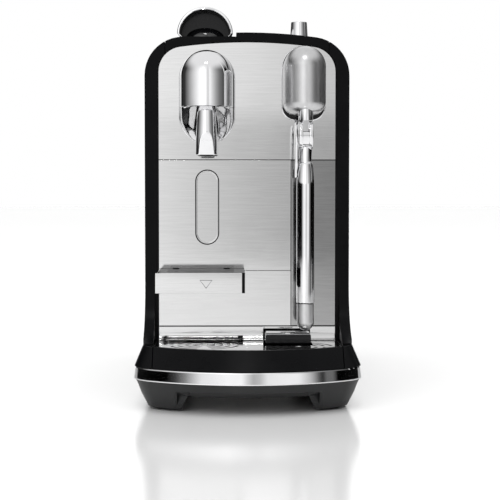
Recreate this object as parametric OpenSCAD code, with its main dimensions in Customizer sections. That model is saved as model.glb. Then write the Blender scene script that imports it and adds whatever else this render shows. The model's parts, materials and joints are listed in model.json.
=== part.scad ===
// Pod coffee machine with a steam wand. Millimetres, +X right, +Y back, +Z up,
// origin on the table under the middle of the machine.

/* [Machine] */
// Depth of the whole machine
machine_d = 393; // [385:1:400]
// Half width of the base trim
base_hw = 86.5; // [84:0.5:88]
// Half width of the housing
body_hw = 80; // [79:0.5:81]
// Height of the housing at its centre line
body_top = 287.6; // [286:0.2:290]

/* [Housing] */
// Wall of the housing panels
wall = 3; // [2.5:0.5:3.5]
// Radius of the crowned top
crown_r = 400; // [360:10:500]
// Radius of the housing's upper corners
corner_r = 30; // [28:1:32]
// Front plane of the black rim
rim_y = -115.5; // [-117:0.5:-114]
// Depth of the thick front rim
rim_d = 12; // [8:1:14]
// Height of the base top, where the housing starts
deck_z = 47; // [46:0.5:48]
// Half width of the front opening
opening_hw = 69.7; // [69:0.1:70]

/* [Heads and wand] */
// Centre of the coffee head across the machine
coffee_x = -31.3; // [-33:0.1:-30]
// Half width of the coffee head
coffee_hw = 20.2; // [19:0.1:21]
// Centre of the steam head and wand
steam_x = 44; // [43:0.5:45]
// Half width of the steam head
steam_hw = 16.25; // [15:0.25:17]
// Distance of the wand in front of the machine's centre
wand_y = -145; // [-146:0.5:-144]
// Height of the wand's hinge axis
wand_z = 206.3; // [205:0.1:207]

/* [Lever] */
// Centre of the lever across the machine
lever_x = -33; // [-34:0.5:-32]
// Hinge axis of the lever, behind the centre
lever_y = 38; // [36:1:40]
// Height of the lever's hinge axis
lever_z = 274; // [273:0.5:275]
// Top of the lever at its front
lever_top = 309; // [306:0.5:312]

/* [Cup support] */
// Height of the shelf's top face
shelf_top = 103.3; // [103:0.1:104]
// Depth of the shelf in front of the panels
shelf_d = 56.5; // [50:0.5:60]

/* [Fits] */
// Radial clearance of every hinge pin
pin_play = 0.05; // [0.03:0.01:0.08]
// Gap between neighbouring panels
seam = 0.4; // [0.2:0.1:0.6]

/* [Hidden] */
$fn = 48;
eps = 0.01;
far = 300;

front_y = -machine_d / 2;
rear_y = machine_d / 2;
crown_z = body_top - crown_r;      // centre height of the crown's arc
housing_rear_y = 132;

// Base, from the table up
foot_top_z = 2;
trim_z0 = 22.5;
trim_z1 = 32;
base_front_r = 130;
base_corner_r = 28;
base_rear_r = 25;
leg_levels = [[2, 10.6], [5.2, 9], [12, 5.5], [18.7, 3], [22.5, 1.2]]; // height, inset
base_deck_z = 31.8;
tray_hw = 71.4;
tray_rear_y = -116.5;
grid_z = 45.8;

// Front panels
panel_y = rim_y + 1.5;             // front face of the steel panels
panel_t = 1.6;
panel_back_y = panel_y + panel_t;
panel_hw = opening_hw - 0.5;
split_z = 188.5;                   // seam under the upper front panel
split_x = 34.2;                    // seam beside the capsule container
lower_z = 101.8;                   // seam under the container's front
front_z0 = 58.4;
flange_y = panel_y - 2;            // front face of the head flanges

// Top pocket for the lever
pocket_z = 284.4;
pocket_x0 = -56.5;
pocket_x1 = -8.5;
pocket_rear_y = 60;
slot_x0 = -48;
slot_x1 = -18;
slot_y0 = -74;
slot_y1 = -40;

// Control panel on the top
control_x0 = 0.7;
control_x1 = 61.8;
control_y0 = -105.8;
control_y1 = -14.2;
display_x0 = 9;
display_x1 = 53;
display_y0 = -58;
display_y1 = -28;
dial_at = [42.3, -80];
dial_top = 300;
button_at = [[16, -92], [16, -70], [20, -21], [42, -21]];
button_r = [5.5, 5.5, 3.8, 3.8];

// Chassis
chassis_hw = 75.8;
bay_wall_y = -6;
upper_deck_z = 189;
sheet = 3;
divider_x = 36;

// Brew unit
brew_z = 225;
brew_hw = 24;
cage_r = 18.5;
cage_y0 = -79;
cage_y1 = -45;

// Cup support
shelf_x0 = -69.2;
shelf_x1 = -2.4;
shelf_z0 = 88.1;
shelf_front_y = panel_y - shelf_d;
hinge_y = -118.5;
hinge_z = 99.5;
hinge_lugs = [-56, -16];
lug_r = 2.8;

// Tank
tank_y0 = 137;
tank_y1 = 193.5;
tank_z0 = 58.2;
tank_lid_z = 268;
tank_wall = 2.5;
valve_y = 160;

feet_at = [for (x = [-62, 62], y = [-150, 160]) [x, y]];
screws_at = [for (x = [-45, 45], y = [-60, 95]) [x, y]];

// ---- Shared shapes

// Points along an arc from angle a0 to a1, without the last one unless end is 1
function arc(c, r, a0, a1, n, end = 1) =
  [for (k = [0:n - 1 + end]) c + r * [cos(a0 + (a1 - a0) * k / n), sin(a0 + (a1 - a0) * k / n)]];

// Plan of the base: a wide front arc, rounded corners and straight sides
function plan(hw, fy, r, rc, by, rr) =
  let (cx = hw - rc, b = asin(cx / (r - rc)), yc = fy + r, cy = yc - (r - rc) * cos(b))
  concat(
    arc([0, yc], r, 270 - b, 270 + b, 14, 0),
    arc([cx, cy], rc, 270 + b, 360, 8),
    arc([hw - rr, by - rr], rr, 0, 90, 8),
    arc([rr - hw, by - rr], rr, 90, 180, 8),
    arc([-cx, cy], rc, 180, 270 - b, 8, 0));
function base_plan(i) =
  plan(base_hw - i, front_y + i, base_front_r - i, base_corner_r - i, rear_y - i, base_rear_r - i);
function skirt_top_plan() = plan(body_hw, front_y + 12, 118, 24, tank_y1, 22);
function skirt_bottom_plan() = plan(base_hw - 0.4, front_y + 0.4, 129.6, 27.6, tank_y1 + 0.5, 22.5);
function at_z(points, z) = [for (p = points) [p[0], p[1], z]];

// Front outline of the housing, i inside its outer face
function outline(hw, r, rc, z0) =
  let (cx = hw - rc, a = asin(cx / (r - rc)), cz = crown_z + (r - rc) * cos(a))
  concat(
    [[-hw, z0]],
    arc([-cx, cz], rc, 180, 90 + a, 10, 0),
    arc([0, crown_z], r, 90 + a, 90 - a, 10, 0),
    arc([cx, cz], rc, 90 - a, 0, 10),
    [[hw, z0]]);
module housing_outline(i, z0 = deck_z) polygon(outline(body_hw - i, crown_r - i, corner_r - i, z0));
module opening_outline(i, z0 = deck_z) polygon(outline(opening_hw - i, crown_r - 7 - i, 20 - i, z0));
// Height of the housing's top face at x, i inside it
function crown_at(x, i = 0) = crown_z + sqrt(pow(crown_r - i, 2) - x * x);

// Extrudes an X-Z outline from y0 to y1
module along_y(y0, y1) translate([0, y1, 0]) rotate([90, 0, 0]) linear_extrude(y1 - y0) children();
// Extrudes a Y-Z outline from x0 to x1
module along_x(x0, x1) translate([x0, 0, 0]) rotate([90, 0, 90]) linear_extrude(x1 - x0) children();
// Box between two corners
module block(a, b) translate(a) cube(b - a);
// Round bar along X
module bar_x(x0, x1, y, z, r) translate([x0, y, z]) rotate([0, 90, 0]) cylinder(h = x1 - x0, r = r);
// Round bar along Y
module bar_y(x, y0, y1, z, r) translate([x, y1, z]) rotate([90, 0, 0]) cylinder(h = y1 - y0, r = r);
// Round bar along Z
module bar_z(x, y, z0, z1, r) translate([x, y, z0]) cylinder(h = z1 - z0, r = r);

// Solid through closed rings of equal length, counter-clockwise seen from the last ring
module loft(rings) {
  n = len(rings[0]);
  m = len(rings);
  polyhedron(
    points = [for (r = rings) each r],
    faces = concat(
      [[for (i = [0:n - 1]) i]],
      [for (k = [0:m - 2], i = [0:n - 1])
        [k * n + i, (k + 1) * n + i, (k + 1) * n + (i + 1) % n, k * n + (i + 1) % n]],
      [[for (i = [n - 1:-1:0]) (m - 1) * n + i]]),
    convexity = 6);
}

// Upright pill outline in X-Z
module pill(x, z0, z1, r) {
  translate([x, z0 + r]) circle(r);
  translate([x, z1 - r]) circle(r);
  translate([x - r, z0 + r]) square([2 * r, z1 - z0 - 2 * r]);
}

// Horizontal section of a head: straight sides from the flange and a round nose
function head_ring(x, hw, straight, nose, z) =
  concat(
    [[x - hw, flange_y, z]],
    [for (p = arc([0, 0], 1, 180, 360, 20)) [x + hw * p[0], flange_y - straight + nose * p[1], z]],
    [[x + hw, flange_y, z]]);

// Swept hose or pipe through a list of points
function unit(v) = v / norm(v);
function sweep_ring(path, k, r) =
  let (
    last = len(path) - 1,
    t = unit(path[min(k + 1, last)] - path[max(k - 1, 0)]),
    u = unit(cross(t, abs(t[2]) < 0.9 ? [0, 0, 1] : [0, 1, 0])),
    v = cross(t, u))
  [for (i = [0:9]) path[k] + r * (cos(36 * i) * u + sin(36 * i) * v)];
// Quarter bend of radius r at corner p, from direction a to direction b
function bend(p, a, b, r) = [for (k = [0:5]) let (s = 90 * k / 5) p + r * ((sin(s) - 1) * a + (1 - cos(s)) * b)];
module hose(path, r) loft([for (k = [0:len(path) - 1]) sweep_ring(path, k, r)]);

// ---- Base

module base_frame() color("dimgray") difference() {
  union() {
    loft([for (l = leg_levels) at_z(base_plan(l[1]), l[0])]);
    translate([0, 0, trim_z0 - eps]) linear_extrude(base_deck_z - trim_z0 + eps) polygon(base_plan(3.2));
  }
  difference() {
    translate([0, 0, -1]) linear_extrude(27) polygon(base_plan(15));
    for (p = feet_at) bar_z(p[0], p[1], foot_top_z, 26.5, 11);
  }
  arches();
  for (p = screws_at) bar_z(p[0], p[1], 25, 33, 2.1);
}

// The openings between the legs, the front one with a wide bevel round it
module arches() {
  along_y(-200, -165) polygon([[-51, -1], [-45, 12.4], [45, 12.4], [51, -1]]);
  along_y(165, 200) polygon([[-59, -1], [-54, 11], [54, 11], [59, -1]]);
  along_x(-100, 100) polygon([[-118, -1], [-110, 11], [110, 11], [118, -1]]);
  intersection() {
    block([-53, -200, 5], [53, -160, 16.3]);
    difference() {
      block([-100, -220, 5], [100, -100, 16.3]);
      loft([at_z(base_plan(10.5), 4.9), at_z(base_plan(10.5), 12.4), at_z(base_plan(3.9), 16.4)]);
    }
  }
  for (s = [0, 1]) mirror([s, 0, 0])
    loft([
      at_z([[48, -210], [59, -210], [59, -170.3], [48, -170.3]], -1),
      at_z([[43, -210], [54, -210], [54, -180.4], [43, -179.5]], 16.3)]);
}

module base_trim() color("silver") translate([0, 0, trim_z0]) linear_extrude(trim_z1 - trim_z0) difference() {
  polygon(base_plan(0));
  polygon(base_plan(3.2));
}

// Sloped black surround, tray front included
module skirt_body() loft([at_z(skirt_bottom_plan(), trim_z1), at_z(skirt_top_plan(), deck_z)]);

module base_skirt() color([0.03, 0.03, 0.035]) difference() {
  skirt_body();
  block([-tray_hw - seam, -far, 0], [tray_hw + seam, -100 + eps, 100]);
  block([-76.2, -100, 0], [76.2, 176, 100]);
  bar_y(50, 170, 200, 40, 5);
}

module rubber_feet() color("black") for (p = feet_at) bar_z(p[0], p[1], 0, foot_top_z, 8);

module base_screws() color("silver") for (p = screws_at) {
  bar_z(p[0], p[1], 23, 26, 4);
  bar_z(p[0], p[1], 26 - eps, 37, 2);
}

module cord_gland() color("black") difference() {
  union() {
    bar_y(50, 176.5, 194.4, 40, 5);
    bar_y(50, 194.4, 196.4, 40, 6.5);
  }
  bar_y(50, 180, 200, 40, 3.6);
}

// ---- Housing

// Right-hand panel: wall, thick front rim and the foot that sweeps forward onto the base
module side_shell() {
  intersection() {
    union() {
      along_y(rim_y + rim_d, housing_rear_y) difference() {
        housing_outline(0);
        housing_outline(wall, 0);
      }
      along_y(rim_y, rim_y + rim_d) difference() {
        housing_outline(0);
        opening_outline(0, 0);
      }
    }
    block([64.2, -far, 0], [far, far, far]);
  }
  sweep_r = 45;
  foot = concat(
    [[rim_y + 1, deck_z], [rim_y + 1, deck_z + sweep_r]],
    arc([rim_y - sweep_r, deck_z + sweep_r], sweep_r, 0, -76, 10));
  intersection() {
    along_x(72.2, body_hw) polygon(concat(foot, [[foot[len(foot) - 1][0], deck_z]]));
    translate([0, 0, deck_z]) linear_extrude(60) polygon(skirt_top_plan());
  }
}

module right_side_panel() color([0.04, 0.04, 0.045]) side_shell();
module left_side_panel() color([0.04, 0.04, 0.045]) mirror([1, 0, 0]) side_shell();

module top_cover() color([0.05, 0.05, 0.055]) difference() {
  intersection() {
    union() {
      along_y(rim_y + rim_d, housing_rear_y) difference() {
        housing_outline(0);
        housing_outline(wall, 0);
      }
      along_y(rim_y, rim_y + rim_d) difference() {
        housing_outline(0);
        opening_outline(0, 0);
      }
      intersection() {
        block([pocket_x0 - 2, rim_y + rim_d - eps, 280.4], [pocket_x1 + 2, pocket_rear_y + 3, 288]);
        along_y(-far, far) housing_outline(0);
      }
    }
    block([-63.8, -far, 200], [63.8, far, far]);
  }
  block([pocket_x0, -far, pocket_z], [pocket_x1, pocket_rear_y, far]);
  block([slot_x0, slot_y0, 270], [slot_x1, slot_y1, far]);
  block([lever_x - 22, 20, 270], [lever_x + 22, 58, far]);
  control_space(0.2);
  for (k = [0:3]) bar_z(button_at[k][0], button_at[k][1], 270, far, button_r[k] + 0.4);
  bar_z(dial_at[0], dial_at[1], 270, far, 3.6);
}

// The shallow space that the control panel fills, g larger all round
module control_space(g) intersection() {
  block([control_x0 - g, control_y0 - g, 270], [control_x1 + g, control_y1 + g, far]);
  along_y(-far, far) difference() {
    housing_outline(-1, 0);
    housing_outline(1.8 + g, 0);
  }
}

module control_panel() color([0.02, 0.02, 0.02]) difference() {
  intersection() {
    control_space(0);
    along_y(-far, far) housing_outline(0);
  }
  display_space(0);
  for (k = [0:3]) bar_z(button_at[k][0], button_at[k][1], 270, far, button_r[k] + 0.4);
  bar_z(dial_at[0], dial_at[1], 270, far, 3.6);
}

module display_space(g) intersection() {
  block([display_x0 - g, display_y0 - g, 270], [display_x1 + g, display_y1 + g, far]);
  along_y(-far, far) difference() {
    housing_outline(0, 0);
    housing_outline(0.9, 0);
  }
}
module display_glass() color([0.1, 0.12, 0.15]) display_space(0);

module rear_panel() color([0.05, 0.05, 0.055]) difference() {
  along_y(housing_rear_y, 135) housing_outline(0);
  for (x = [-40:10:40]) block([x - 2, 120, 200], [x + 2, 140, 240]);
}

module front_panel() color("silver") difference() {
  along_y(panel_y, panel_back_y) difference() {
    opening_outline(0.5);
    translate([-far, 0]) square([2 * far, split_z + seam]);
  }
  bar_y(coffee_x, -far, 0, brew_z, 4.2);
  bar_y(steam_x, -far, 0, 240, 4.2);
}

module side_front_panel() color("silver")
  block([split_x + seam, panel_y, front_z0], [panel_hw, panel_back_y, split_z - seam]);

// ---- Chassis and the works inside

module chassis() color("dimgray") difference() {
  union() {
    block([-chassis_hw, -98, base_deck_z], [chassis_hw, 174, 35]);
    block([-chassis_hw, bay_wall_y, 35 - eps], [chassis_hw, bay_wall_y + sheet, upper_deck_z + eps]);
    block([-chassis_hw, rim_y + rim_d + seam, upper_deck_z], [chassis_hw, 131, upper_deck_z + sheet]);
    block([-panel_hw, panel_back_y, upper_deck_z], [panel_hw, rim_y + rim_d + 1, upper_deck_z + sheet]);
    block([divider_x, panel_back_y, front_z0], [divider_x + 2.5, bay_wall_y + eps, upper_deck_z + eps]);
    block([divider_x, panel_back_y, front_z0], [panel_hw, panel_back_y + sheet, upper_deck_z + eps]);
    block([divider_x, -100, 35 - eps], [divider_x + 2.5, bay_wall_y + eps, front_z0 + eps]);
    block([14, -100, 35 - eps], [48, -94, 56]);
    along_y(panel_back_y, panel_back_y + sheet) difference() {
      opening_outline(0.5);
      translate([-far, 0]) square([2 * far, upper_deck_z + 1]);
    }
  }
  block([-52, -80, 180], [-14, -50, 200]);
  bar_y(coffee_x, -far, -90, brew_z, 4.2);
  bar_y(steam_x, -far, -90, 240, 4.2);
  bar_z(28, 12, 180, 200, 4);
  bar_z(-38, 12, 180, 200, 4);
  for (p = screws_at) bar_z(p[0], p[1], 30, 40, 2.1);
}

module brew_frame() color("gray") {
  difference() {
    union() {
      for (s = [-1, 1]) along_x(lever_x + s * (brew_hw - 1.5) - 1.5, lever_x + s * (brew_hw - 1.5) + 1.5)
        polygon([[-100, 192], [46, 192], [46, 279.5], [30, 279.5], [20, 258], [-100, 258]]);
      block([lever_x - brew_hw + 3 - eps, -90, 196], [lever_x + brew_hw - 3 + eps, -82, 254]);
      block([lever_x - brew_hw + 3 - eps, 12, 192], [lever_x + brew_hw - 3 + eps, 16, 250]);
    }
    bar_x(lever_x - far, lever_x + far, lever_y, lever_z, 2.5);
    bar_y(coffee_x, -100, -60, brew_z, 2);
    bar_y(lever_x, 0, 30, brew_z, 5.1);
  }
  difference() {
    bar_y(coffee_x, panel_y, -90 + eps, brew_z, 4);
    bar_y(coffee_x, panel_y - 1, -80, brew_z, 2);
  }
}

module lever_pin() color("silver") bar_x(lever_x - brew_hw, lever_x + brew_hw, lever_y, lever_z, 2.5);

// Moving half of the brew chamber, with the cup that takes a capsule and its push rod
module brew_cage() color("darkgray") difference() {
  union() {
    bar_y(lever_x, cage_y0, cage_y1, brew_z, cage_r);
    bar_y(lever_x, cage_y1 - eps, 11.5, brew_z, 5);
  }
  bar_y(lever_x, cage_y0 - 1, cage_y0 + 24, brew_z, 15);
}

module capsule_chute() color("gray") difference() {
  block([-51.8, -79.8, 187.4], [-14.2, -50.2, 193.5]);
  block([-50, -78, 180], [-16, -52, 200]);
}

module thermoblock() color("darkgray") {
  bar_z(-38, 50, 35, 52, 14);
  bar_z(-38, 50, 52 - eps, 92, 30);
  for (a = [45:90:315]) bar_z(-38 + 22 * cos(a), 50 + 22 * sin(a), 92 - eps, 97, 3.5);
  bar_z(-38, 50, 92 - eps, 102, 7);
}

module steam_heater() color("lightgray") {
  block([6, bay_wall_y + sheet, 92], [60, 8, 150]);
  for (z = [98:8:146]) block([8, 8 - eps, z], [20, 14, z + 3]);
  for (z = [98:8:146]) block([38, 8 - eps, z], [58, 14, z + 3]);
}

module pump() color("slategray") {
  block([20, 38, 35], [50, 82, 44]);
  bar_y(35, 30, 90, 60, 13);
  block([17, 42, 44 - eps], [53, 76, 78]);
  bar_y(35, 90 - eps, 97, 60, 5);
  bar_y(35, 24, 30 + eps, 60, 5);
}

module flow_meter() color("whitesmoke") {
  bar_z(-45, 112, 35, 52, 13.5);
  bar_z(-45, 112, 52 - eps, 58, 4);
}

module solenoid_valve() color("tan") {
  block([32, 102, 35], [58, 126, 58]);
  bar_z(45, 114, 58 - eps, 92, 9.5);
}

module circuit_boards() color("darkgreen") {
  block([-62, 126, 98], [62, 127.6, 178]);
  for (x = [-45, -15, 20]) block([x, 108, 115], [x + 20, 126 + eps, 140]);
  for (x = [-50:20:50]) bar_y(x, 114, 126 + eps, 160, 5);
  block([3, -103, 258], [60, -17, 259.6]);
  for (p = button_at) block([p[0] - 3, p[1] - 3, 259.6 - eps], [p[0] + 3, p[1] + 3, 261]);
  block([dial_at[0] - 6, dial_at[1] - 6, 259.6 - eps], [dial_at[0] + 6, dial_at[1] + 6, 262.6]);
  block([3, -103, 192], [6, -100, 258 + eps]);
  block([57, -20, 192], [60, -17, 258 + eps]);
}

// Hoses: tank to flow meter, flow meter to pump, pump to heater, heater to brew unit
module water_hoses() color("lightblue") {
  x_axis = [1, 0, 0];
  y_axis = [0, 1, 0];
  z_axis = [0, 0, 1];
  hose(concat([[0, valve_y, 51]], bend([0, valve_y, 40], -z_axis, -y_axis, 8), [[0, 140, 40]],
    bend([0, 132, 40], -y_axis, -x_axis, 8), [[-20, 132, 40], [-31, 120, 40]]), 3);
  hose(concat([[-45, 112, 58]], bend([-45, 112, 68], z_axis, x_axis, 6), [[10, 112, 66]],
    bend([28, 112, 66], x_axis, -y_axis, 8), [[28, 90, 66]]), 3);
  hose(concat([[35, 24, 60]], bend([35, 14, 60], -y_axis, -x_axis, 6),
    [[10, 14, 60], [-10, 14, 64], [-28, 14, 110]], bend([-38, 14, 118], -x_axis, z_axis, 6),
    [[-38, 13, 150], [-38, 13, 192]]), 2.6);
}

module steam_pipe() color("peru") {
  x_axis = [1, 0, 0];
  y_axis = [0, 1, 0];
  z_axis = [0, 0, 1];
  hose(concat([[28, 2, 150]], [[28, 4, 160], [28, 10, 172]], [[28, 12, 182]],
    bend([28, 12, 205], z_axis, -y_axis, 10), [[30, -30, 205], [40, -60, 215], [44, -80, 232]],
    [[44, -90, 239], [44, -98, 240], [44, panel_y, 240]]), 3);
}

// ---- Heads on the front

// Radius factor of the domed top and rounded bottom of a head at height z
function dome(z, shoulder, r) = z > shoulder ? sqrt(max(0, 1 - pow((z - shoulder) / r, 2))) : 1;

module coffee_head_cap() color("silver") {
  shoulder = 251.8;
  levels = concat([228.2, 240], [for (a = [0:9:81]) shoulder + coffee_hw * sin(a)], [shoulder + coffee_hw * 0.998]);
  loft([for (z = levels) let (k = dome(z, shoulder, coffee_hw))
    head_ring(coffee_x, coffee_hw * k, 18, 20 * k, z)]);
}

module coffee_head_base() color("silver") {
  difference() {
    along_y(flange_y, panel_y) pill(coffee_x, 200.5, 273.7, 21.9);
    bar_y(coffee_x, -far, 0, brew_z, 4.2);
  }
  knee = 220.7;
  levels = [201.5, 203, 206, 210, 214, 218, 222, 226, 228];
  difference() {
    loft([for (z = levels)
      let (k = z < knee ? sqrt(max(0.003, 1 - pow((knee - z) / coffee_hw, 2))) : 1, p = pow((z - 201) / 27, 1.7))
      head_ring(coffee_x, coffee_hw * k, 2 + 16 * p, (4 + 16 * p) * k, z)]);
    bar_z(coffee_x, flange_y - 27, 190, 225.5, 8.6);
  }
}

module coffee_spout() color("silver") translate([coffee_x, flange_y - 27, 0]) rotate_extrude()
  polygon([[6.2, 192], [8.5, 191.6], [8.2, 205], [7.4, 218], [7, 225.5], [3, 225.5], [6.2, 212]]);

module spout_nozzle() color("black") translate([coffee_x, flange_y - 27, 0]) difference() {
  translate([0, 0, 190.6]) cylinder(h = 14, r = 6);
  translate([0, 0, 190]) cylinder(h = 20, r = 2.5);
}

module steam_head() color("lightgray") difference() {
  shoulder = 259;
  chin = 232.5;
  chin_r = 9.4;
  levels = concat(
    [for (a = [90:-15:0]) chin - chin_r * sin(a)], [245],
    [for (a = [0:9:81]) shoulder + steam_hw * sin(a)], [shoulder + steam_hw * 0.998]);
  loft([for (z = levels)
    let (
      k = dome(z, shoulder, steam_hw),
      cut = z < chin ? chin_r - sqrt(max(0, chin_r * chin_r - pow(chin - z, 2))) : 0)
    head_ring(steam_x, steam_hw * k - cut, 17, 20 * k - cut, z)]);
  bar_z(steam_x, wand_y, 200, 236, 5.5);
}

module steam_flange() color("silver") difference() {
  along_y(flange_y, panel_y) {
    translate([steam_x, 260]) circle(17.3);
    translate([steam_x - 17.3, 230]) square([34.6, 30]);
    for (s = [-1, 1]) translate([steam_x + s * 6.3, 230]) circle(11);
    translate([steam_x - 6.3, 219]) square([12.6, 12]);
  }
  bar_y(steam_x, -far, 0, 240, 4.2);
}

module wand_socket() color("silver") difference() {
  union() {
    bar_z(steam_x, wand_y, 217.7, 236, 5.5);
    along_x(steam_x - 2, steam_x + 2) {
      translate([wand_y, wand_z]) circle(4.4);
      translate([wand_y - 3, wand_z]) square([6, 12]);
    }
  }
  bar_x(0, far, wand_y, wand_z, 2.5 + pin_play);
}

// ---- Steam wand

module wand_knuckle() color("silver") {
  half = 5.3;
  difference() {
    bar_x(steam_x - half, steam_x + half, wand_y, wand_z, 11);
    along_x(steam_x - 2.3, steam_x + 2.3) translate([wand_y, wand_z]) {
      circle(4.9);
      polygon([[3.4, -1], [3.4, 12], [-12.3, 12], [-12.3, 7.5], [-2.4, -2.4]]);
    }
  }
  bar_x(steam_x - half, steam_x + half, wand_y, wand_z, 2.5);
  translate([steam_x, wand_y, 0]) rotate_extrude() polygon([[0, 186], [4.5, 186], [5.1, 198], [0, 198]]);
  along_x(steam_x - half - 3, steam_x - half - 1) {
    translate([wand_y, wand_z]) circle(10.5);
    polygon([[wand_y - 9, wand_z - 5], [wand_y - 2.5, 174], [wand_y + 2.5, 174], [wand_y + 9, wand_z - 5]]);
  }
  bar_x(steam_x - half - 1 - eps, steam_x - half + eps, wand_y, wand_z, 9);
}

module wand_tube() color("silver") translate([steam_x, wand_y, 0]) rotate_extrude()
  polygon(concat([[0, 78.6], [6.9, 78.6], [6.9, 165]],
    [for (a = [10:10:80]) [4.5 + 2.4 * cos(a), 165 + 21 * sin(a)]], [[4.5, 186], [0, 186]]));

module wand_tip() color("silver") translate([steam_x, wand_y, 0]) difference() {
  rotate_extrude() polygon(concat([[0, 57.7]], arc([0, 64.3], 6.6, -80, 0, 8), [[6.6, 78.6], [0, 78.6]]));
  for (a = [45:90:315]) translate([2.6 * cos(a), 2.6 * sin(a), 50]) cylinder(h = 12, r = 0.6);
}

// ---- Lever

// Arched section of the hood at depth y: half width a, foot height z0, crown height z1
function hood_ring(y, a, z0, z1) =
  let (zb = z0 + 0.12 * (z1 - z0))
  concat(
    [[lever_x - 0.88 * a, y, z0]],
    [for (t = [180:-12:0]) [lever_x + a * cos(t), y, zb + (z1 - zb) * sin(t)]],
    [[lever_x + 0.88 * a, y, z0]]);
// Depth, half width, foot and crown along the hood, t inside its outer face
function hood_rings(y0, t) = [for (s = [[y0, 22, 0], [-80, 22, 0.4], [-50, 21.6, 2.6], [-15, 20.8, 8], [15, 20, 14], [32, 19.4, 17.5]])
  hood_ring(s[0], s[1] - t, 284.9, lever_top - s[2] - t)];

module lever_handle() color("silver") difference() {
  loft(hood_rings(-106, 0));
  translate([0, 0, -eps]) loft([for (r = hood_rings(-107, 2.4)) [for (p = r) p[2] < 285 ? [p[0], p[1], 280] : p]]);
}

module lever_liner() color([0.03, 0.03, 0.03]) difference() {
  union() {
    loft([for (r = hood_rings(-92, 2.7)) [for (p = r) [p[0], p[1] > 31 ? 31 : p[1], p[2]]]]);
    along_x(lever_x - 14, lever_x + 14) polygon([[24, 286], [24, 282], [33, 274], [38, 274], [38, 279], [31, 286]]);
    bar_x(lever_x - brew_hw + 3.2, lever_x + brew_hw - 3.2, lever_y, lever_z, 5.5);
  }
  bar_x(-far, far, lever_y, lever_z, 2.5 + pin_play);
}

// ---- Controls

module dial_plunger() color("dimgray") bar_z(dial_at[0], dial_at[1], 264, 268, 5);

module selection_dial() color("silver") translate([dial_at[0], dial_at[1], 0]) rotate_extrude()
  polygon([[0, 268], [3, 268], [3, 288.2], [7.1, 288.2], [6.4, dial_top - 0.6], [5.8, dial_top], [0, dial_top]]);

// Round key on its stem, standing just proud of the panel
module key(k) {
  p = button_at[k];
  top = crown_at(p[0]) + 0.8;
  bar_z(p[0], p[1], top - 4.5, top, button_r[k]);
  bar_z(p[0], p[1], 262, top - 4.5 + eps, 2);
}
module coffee_button() color("silver") key(0);
module milk_button() color("silver") key(1);
module temperature_button() color("silver") key(2);
module froth_button() color("silver") key(3);

// ---- Drip tray

module drip_tray() color([0.04, 0.04, 0.045]) difference() {
  intersection() {
    skirt_body();
    block([-tray_hw, -far, trim_z1 + 0.2], [tray_hw, tray_rear_y, deck_z]);
  }
  translate([0, 0, 34.5]) linear_extrude(30) tray_plan(5);
  translate([0, 0, grid_z]) linear_extrude(30) tray_plan(0);
}

// Plan of the grid's seat, g inside it
module tray_plan(g) intersection() {
  polygon(plan(body_hw - 5 - g, front_y + 15 + g, 115 - g, 24 - g, 0, 10));
  translate([-70.4 + g, -far]) square([140.8 - 2 * g, far + tray_rear_y - (g > 0 ? 2.5 : 0) + (g > 0 ? 0 : 1)]);
}

// Curved drain slot round c
module arc_slot(c, r, a0, a1) translate(c)
  polygon(concat(arc([0, 0], r + 1.1, a0, a1, 6), arc([0, 0], r - 1.1, a1, a0, 6)));
module drain(c) {
  circle_r = [8, 14, 20, 26];
  for (k = [0:3], a = [0:1:3]) arc_slot(c, circle_r[k], 90 * a + 12 + 8 * k % 2, 90 * a + 78);
  translate(c) circle(2.5);
}

module drip_grid() color("silver") difference() {
  union() {
    translate([0, 0, grid_z + 0.02]) linear_extrude(1.2) difference() {
      intersection() {
        offset(delta = -0.2) tray_plan(0);
        translate([-far, -far]) square([2 * far, far + tray_rear_y]);
      }
      drain([-33, -148]);
      drain([38, -160]);
    }
    along_x(-panel_hw, panel_hw) polygon(concat(
      [[-113.6, 57.6], [-113.6, 47], [-122, 47]], [[-122, 46]], [[-112.6, 46]], [[-112.6, 57.6]]));
  }
  block([12.6, -150, 40], [49.6, -100, 56]);
}

module tray_float() color("red") bar_z(0, -128, 36, 44, 6);

module sensor_housing() color("black") block([13.8, -146, 47.4], [48.4, -100, 54.6]);
module sensor_contact() color("silver") bar_z(31, -134, 54.6, 55.4, 6);

// ---- Capsule container

module capsule_container() color([0.06, 0.06, 0.065]) difference() {
  block([-66, panel_back_y, 62], [33, -10, 186]);
  block([-64, -102, 64], [31, -12, 200]);
  along_y(panel_back_y - 1, -104.9) pill(coffee_x, 122, 181, 9.4);
}

module container_front() color("silver") along_y(panel_y, panel_back_y) difference() {
  translate([-panel_hw, lower_z + seam / 2]) square([panel_hw + split_x, split_z - lower_z - seam]);
  pill(coffee_x, 122, 181, 9.4);
}

module grip_insert() color("gray") difference() {
  along_y(panel_y + 0.4, -105) pill(coffee_x, 122.1, 180.9, 9.3);
  along_y(-120, -106.4) pill(coffee_x, 123.4, 179.6, 8);
}

// Steel front under the container, with the two lugs that carry the cup support
module lower_front() color("silver") {
  block([-panel_hw, panel_y, front_z0], [split_x, panel_back_y, lower_z - seam / 2]);
  difference() {
    for (x = hinge_lugs) {
      bar_x(x - 2, x + 2, hinge_y, hinge_z, lug_r);
      block([x - 2, hinge_y, hinge_z - lug_r], [x + 2, panel_y + eps, hinge_z + 2]);
    }
    bar_x(-far, far, hinge_y, hinge_z, 1.5 + pin_play);
  }
}

// ---- Cup support

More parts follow.
